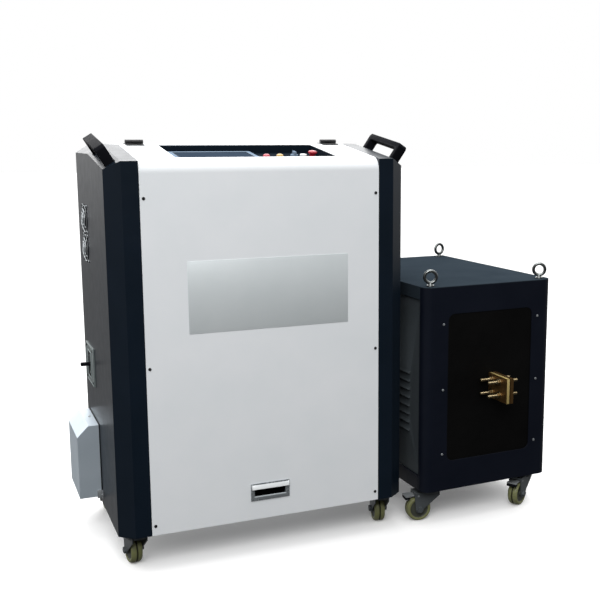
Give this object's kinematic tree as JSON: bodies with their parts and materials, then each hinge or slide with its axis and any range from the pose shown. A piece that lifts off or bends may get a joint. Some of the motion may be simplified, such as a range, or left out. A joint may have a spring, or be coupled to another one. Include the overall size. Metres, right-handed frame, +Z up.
{
  "type": "induction heating machine",
  "caption": "Wheeled induction heating power cabinet with sloped console and side fans, beside a wheeled transformer cart with flat copper output bars",
  "frame": {"origin": "centre of the bounding box on the floor plane, at the bottom of the wheels", "axes": "X runs across the front from the mains hood to the transformer cart, Y runs from the front to the back, Z is up"},
  "size_m": [1.3642, 0.7502, 1.1378],
  "materials": {
    "navy_paint": "satin",
    "white_paint": "satin",
    "grey_paint": "satin",
    "cart_panel_paint": "matte",
    "zinc": "brushed",
    "dark_zinc": "brushed",
    "chrome_plate": "polished",
    "black_plastic": "matte",
    "bezel_plastic": "matte",
    "red_plastic": "gloss",
    "lamp_plastic": "gloss",
    "white_plastic": "gloss",
    "grey_plastic": "matte",
    "polyurethane": "satin",
    "copper": "satin",
    "aluminium": "machined",
    "board_laminate": "matte",
    "core_steel": "matte",
    "module_plastic": "matte",
    "circuit_laminate": "gloss",
    "capacitor_can": "satin"
  },
  "bodies": {
    "cabinet": {"cabinet_frame": "zinc", "left_end_cap": "navy_paint", "right_end_cap": "navy_paint", "rear_panel": "navy_paint", "rear_top_cover": "white_paint", "console_tray": "navy_paint", "touch_screen": "bezel_plastic", "pilot_lamps": "lamp_plastic", "carry_handles": "black_plastic", "fan_frames": "black_plastic", "fan_guards": "chrome_plate", "circuit_breaker": "grey_plastic", "cable_hood": "grey_paint", "cabinet_caster_plates": "zinc", "cold_plate": "aluminium", "power_modules": "module_plastic", "capacitor_bank": "capacitor_can", "dc_choke": "core_steel", "control_board": "circuit_laminate", "water_fittings": "copper", "output_terminals": "copper", "hinge_fixed_leaves": "black_plastic"},
    "cover": {"front_cover": "white_paint", "flush_pull": "chrome_plate", "hinge_moving_leaves": "black_plastic"},
    "upper_fan": {"fan_rotor_upper": "black_plastic"},
    "lower_fan": {"fan_rotor_lower": "black_plastic"},
    "toggle": {"breaker_toggle": "black_plastic"},
    "selector": {"selector_knob": "grey_plastic"},
    "button": {"push_button": "white_plastic"},
    "estop": {"estop_button": "red_plastic"},
    "cart": {"cart_frame": "navy_paint", "cart_front": "navy_paint", "cart_top": "navy_paint", "cart_panels": "cart_panel_paint", "window_board": "board_laminate", "output_bars": "copper", "bar_studs": "zinc", "eyebolts": "chrome_plate", "transformer_core": "core_steel", "transformer_coils": "copper", "cart_caster_plates": "zinc"},
    "cabinet_front_left_fork": {"cabinet_fork_front_left": "dark_zinc"},
    "cabinet_front_left_wheel": {"cabinet_wheel_front_left": "polyurethane"},
    "cabinet_front_right_fork": {"cabinet_fork_front_right": "dark_zinc"},
    "cabinet_front_right_wheel": {"cabinet_wheel_front_right": "polyurethane"},
    "cabinet_rear_left_fork": {"cabinet_fork_rear_left": "dark_zinc"},
    "cabinet_rear_left_wheel": {"cabinet_wheel_rear_left": "polyurethane"},
    "cabinet_rear_right_fork": {"cabinet_fork_rear_right": "dark_zinc"},
    "cabinet_rear_right_wheel": {"cabinet_wheel_rear_right": "polyurethane"},
    "cart_front_left_fork": {"cart_fork_front_left": "dark_zinc"},
    "cart_front_left_wheel": {"cart_wheel_front_left": "polyurethane"},
    "left_pedal": {"brake_pedal_left": "dark_zinc"},
    "cart_front_right_fork": {"cart_fork_front_right": "dark_zinc"},
    "cart_front_right_wheel": {"cart_wheel_front_right": "polyurethane"},
    "right_pedal": {"brake_pedal_right": "dark_zinc"},
    "cart_rear_left_fork": {"cart_fork_rear_left": "dark_zinc"},
    "cart_rear_left_wheel": {"cart_wheel_rear_left": "polyurethane"},
    "cart_rear_right_fork": {"cart_fork_rear_right": "dark_zinc"},
    "cart_rear_right_wheel": {"cart_wheel_rear_right": "polyurethane"}
  },
  "joints": [
    {"name": "cover_hinge", "type": "hinge", "parent": "cabinet", "child": "cover", "pos_m": [-0.21464, -0.00255, 1.11483], "axis": [-1, 0, 0], "range_deg": [0, 75]},
    {"name": "upper_fan_spin", "type": "hinge", "parent": "cabinet", "child": "upper_fan", "pos_m": [-0.62014, 0.10175, 0.903], "axis": [-1, 0, 0], "continuous": true},
    {"name": "lower_fan_spin", "type": "hinge", "parent": "cabinet", "child": "lower_fan", "pos_m": [-0.62014, 0.10175, 0.822], "axis": [-1, 0, 0], "continuous": true},
    {"name": "breaker_throw", "type": "hinge", "parent": "cabinet", "child": "toggle", "pos_m": [-0.60814, 0.11375, 0.486], "axis": [0, 1, 0], "range_deg": [-35, 35]},
    {"name": "selector_turn", "type": "hinge", "parent": "cabinet", "child": "selector", "pos_m": [-0.07464, -0.10987, 1.0931], "axis": [0, -0.1392, 0.9903], "range_deg": [-45, 45]},
    {"name": "button_press", "type": "slide", "parent": "cabinet", "child": "button", "axis": [0, 0.1392, -0.9903], "range_m": [0, 0.003], "stiffness_N_per_m": 400, "springref_m": -0.002},
    {"name": "estop_press", "type": "slide", "parent": "cabinet", "child": "estop", "axis": [0, 0.1392, -0.9903], "range_m": [0, 0.004], "stiffness_N_per_m": 600, "springref_m": -0.002},
    {"name": "cart_roll", "type": "slide", "parent": "cabinet", "child": "cart", "axis": [1, 0, 0], "range_m": [0, 0.3]},
    {"name": "cabinet_front_left_swivel", "type": "hinge", "parent": "cabinet", "child": "cabinet_front_left_fork", "pos_m": [-0.56914, -0.22325, 0.09], "axis": [0, 0, 1], "continuous": true},
    {"name": "cabinet_front_left_roll", "type": "hinge", "parent": "cabinet_front_left_fork", "child": "cabinet_front_left_wheel", "pos_m": [-0.57377, -0.18553, 0.0375], "axis": [-0.9925, -0.1219, 0], "continuous": true},
    {"name": "cabinet_front_right_swivel", "type": "hinge", "parent": "cabinet", "child": "cabinet_front_right_fork", "pos_m": [0.13986, -0.22325, 0.09], "axis": [0, 0, 1], "continuous": true},
    {"name": "cabinet_front_right_roll", "type": "hinge", "parent": "cabinet_front_right_fork", "child": "cabinet_front_right_wheel", "pos_m": [0.14776, -0.18608, 0.0375], "axis": [-0.9781, 0.2079, 0], "continuous": true},
    {"name": "cabinet_rear_left_swivel", "type": "hinge", "parent": "cabinet", "child": "cabinet_rear_left_fork", "pos_m": [-0.56914, 0.18475, 0.09], "axis": [0, 0, 1], "continuous": true},
    {"name": "cabinet_rear_left_roll", "type": "hinge", "parent": "cabinet_rear_left_fork", "child": "cabinet_rear_left_wheel", "pos_m": [-0.57245, 0.2226, 0.0375], "axis": [-0.9962, -0.0872, 0], "continuous": true},
    {"name": "cabinet_rear_right_swivel", "type": "hinge", "parent": "cabinet", "child": "cabinet_rear_right_fork", "pos_m": [0.13986, 0.18475, 0.09], "axis": [0, 0, 1], "continuous": true},
    {"name": "cabinet_rear_right_roll", "type": "hinge", "parent": "cabinet_rear_right_fork", "child": "cabinet_rear_right_wheel", "pos_m": [0.14646, 0.22217, 0.0375], "axis": [-0.9848, 0.1736, 0], "continuous": true},
    {"name": "cart_front_left_swivel", "type": "hinge", "parent": "cart", "child": "cart_front_left_fork", "pos_m": [0.29655, -0.237, 0.09], "axis": [0, 0, 1], "continuous": true},
    {"name": "cart_front_left_roll", "type": "hinge", "parent": "cart_front_left_fork", "child": "cart_front_left_wheel", "pos_m": [0.25892, -0.23171, 0.0375], "axis": [-0.1392, -0.9903, 0], "continuous": true},
    {"name": "left_pedal_press", "type": "hinge", "parent": "cart_front_left_fork", "child": "left_pedal", "pos_m": [0.25496, -0.23115, 0.0795], "axis": [-0.1392, -0.9903, 0], "range_deg": [0, 8], "stiffness_Nm_per_rad": 2, "springref_deg": -2.86},
    {"name": "cart_front_right_swivel", "type": "hinge", "parent": "cart", "child": "cart_front_right_fork", "pos_m": [0.63035, -0.22535, 0.09], "axis": [0, 0, 1], "continuous": true},
    {"name": "cart_front_right_roll", "type": "hinge", "parent": "cart_front_right_fork", "child": "cart_front_right_wheel", "pos_m": [0.59812, -0.24549, 0.0375], "axis": [0.5299, -0.848, 0], "continuous": true},
    {"name": "right_pedal_press", "type": "hinge", "parent": "cart_front_right_fork", "child": "right_pedal", "pos_m": [0.59473, -0.24761, 0.0795], "axis": [0.5299, -0.848, 0], "range_deg": [0, 8], "stiffness_Nm_per_rad": 2, "springref_deg": -2.86},
    {"name": "cart_rear_left_swivel", "type": "hinge", "parent": "cart", "child": "cart_rear_left_fork", "pos_m": [0.27743, 0.31066, 0.09], "axis": [0, 0, 1], "continuous": true},
    {"name": "cart_rear_left_roll", "type": "hinge", "parent": "cart_rear_left_fork", "child": "cart_rear_left_wheel", "pos_m": [0.23971, 0.30603, 0.0375], "axis": [0.1219, -0.9925, 0], "continuous": true},
    {"name": "cart_rear_right_swivel", "type": "hinge", "parent": "cart", "child": "cart_rear_right_fork", "pos_m": [0.61122, 0.32232, 0.09], "axis": [0, 0, 1], "continuous": true},
    {"name": "cart_rear_right_roll", "type": "hinge", "parent": "cart_rear_right_fork", "child": "cart_rear_right_wheel", "pos_m": [0.57599, 0.30808, 0.0375], "axis": [0.3746, -0.9272, 0], "continuous": true}
  ]
}
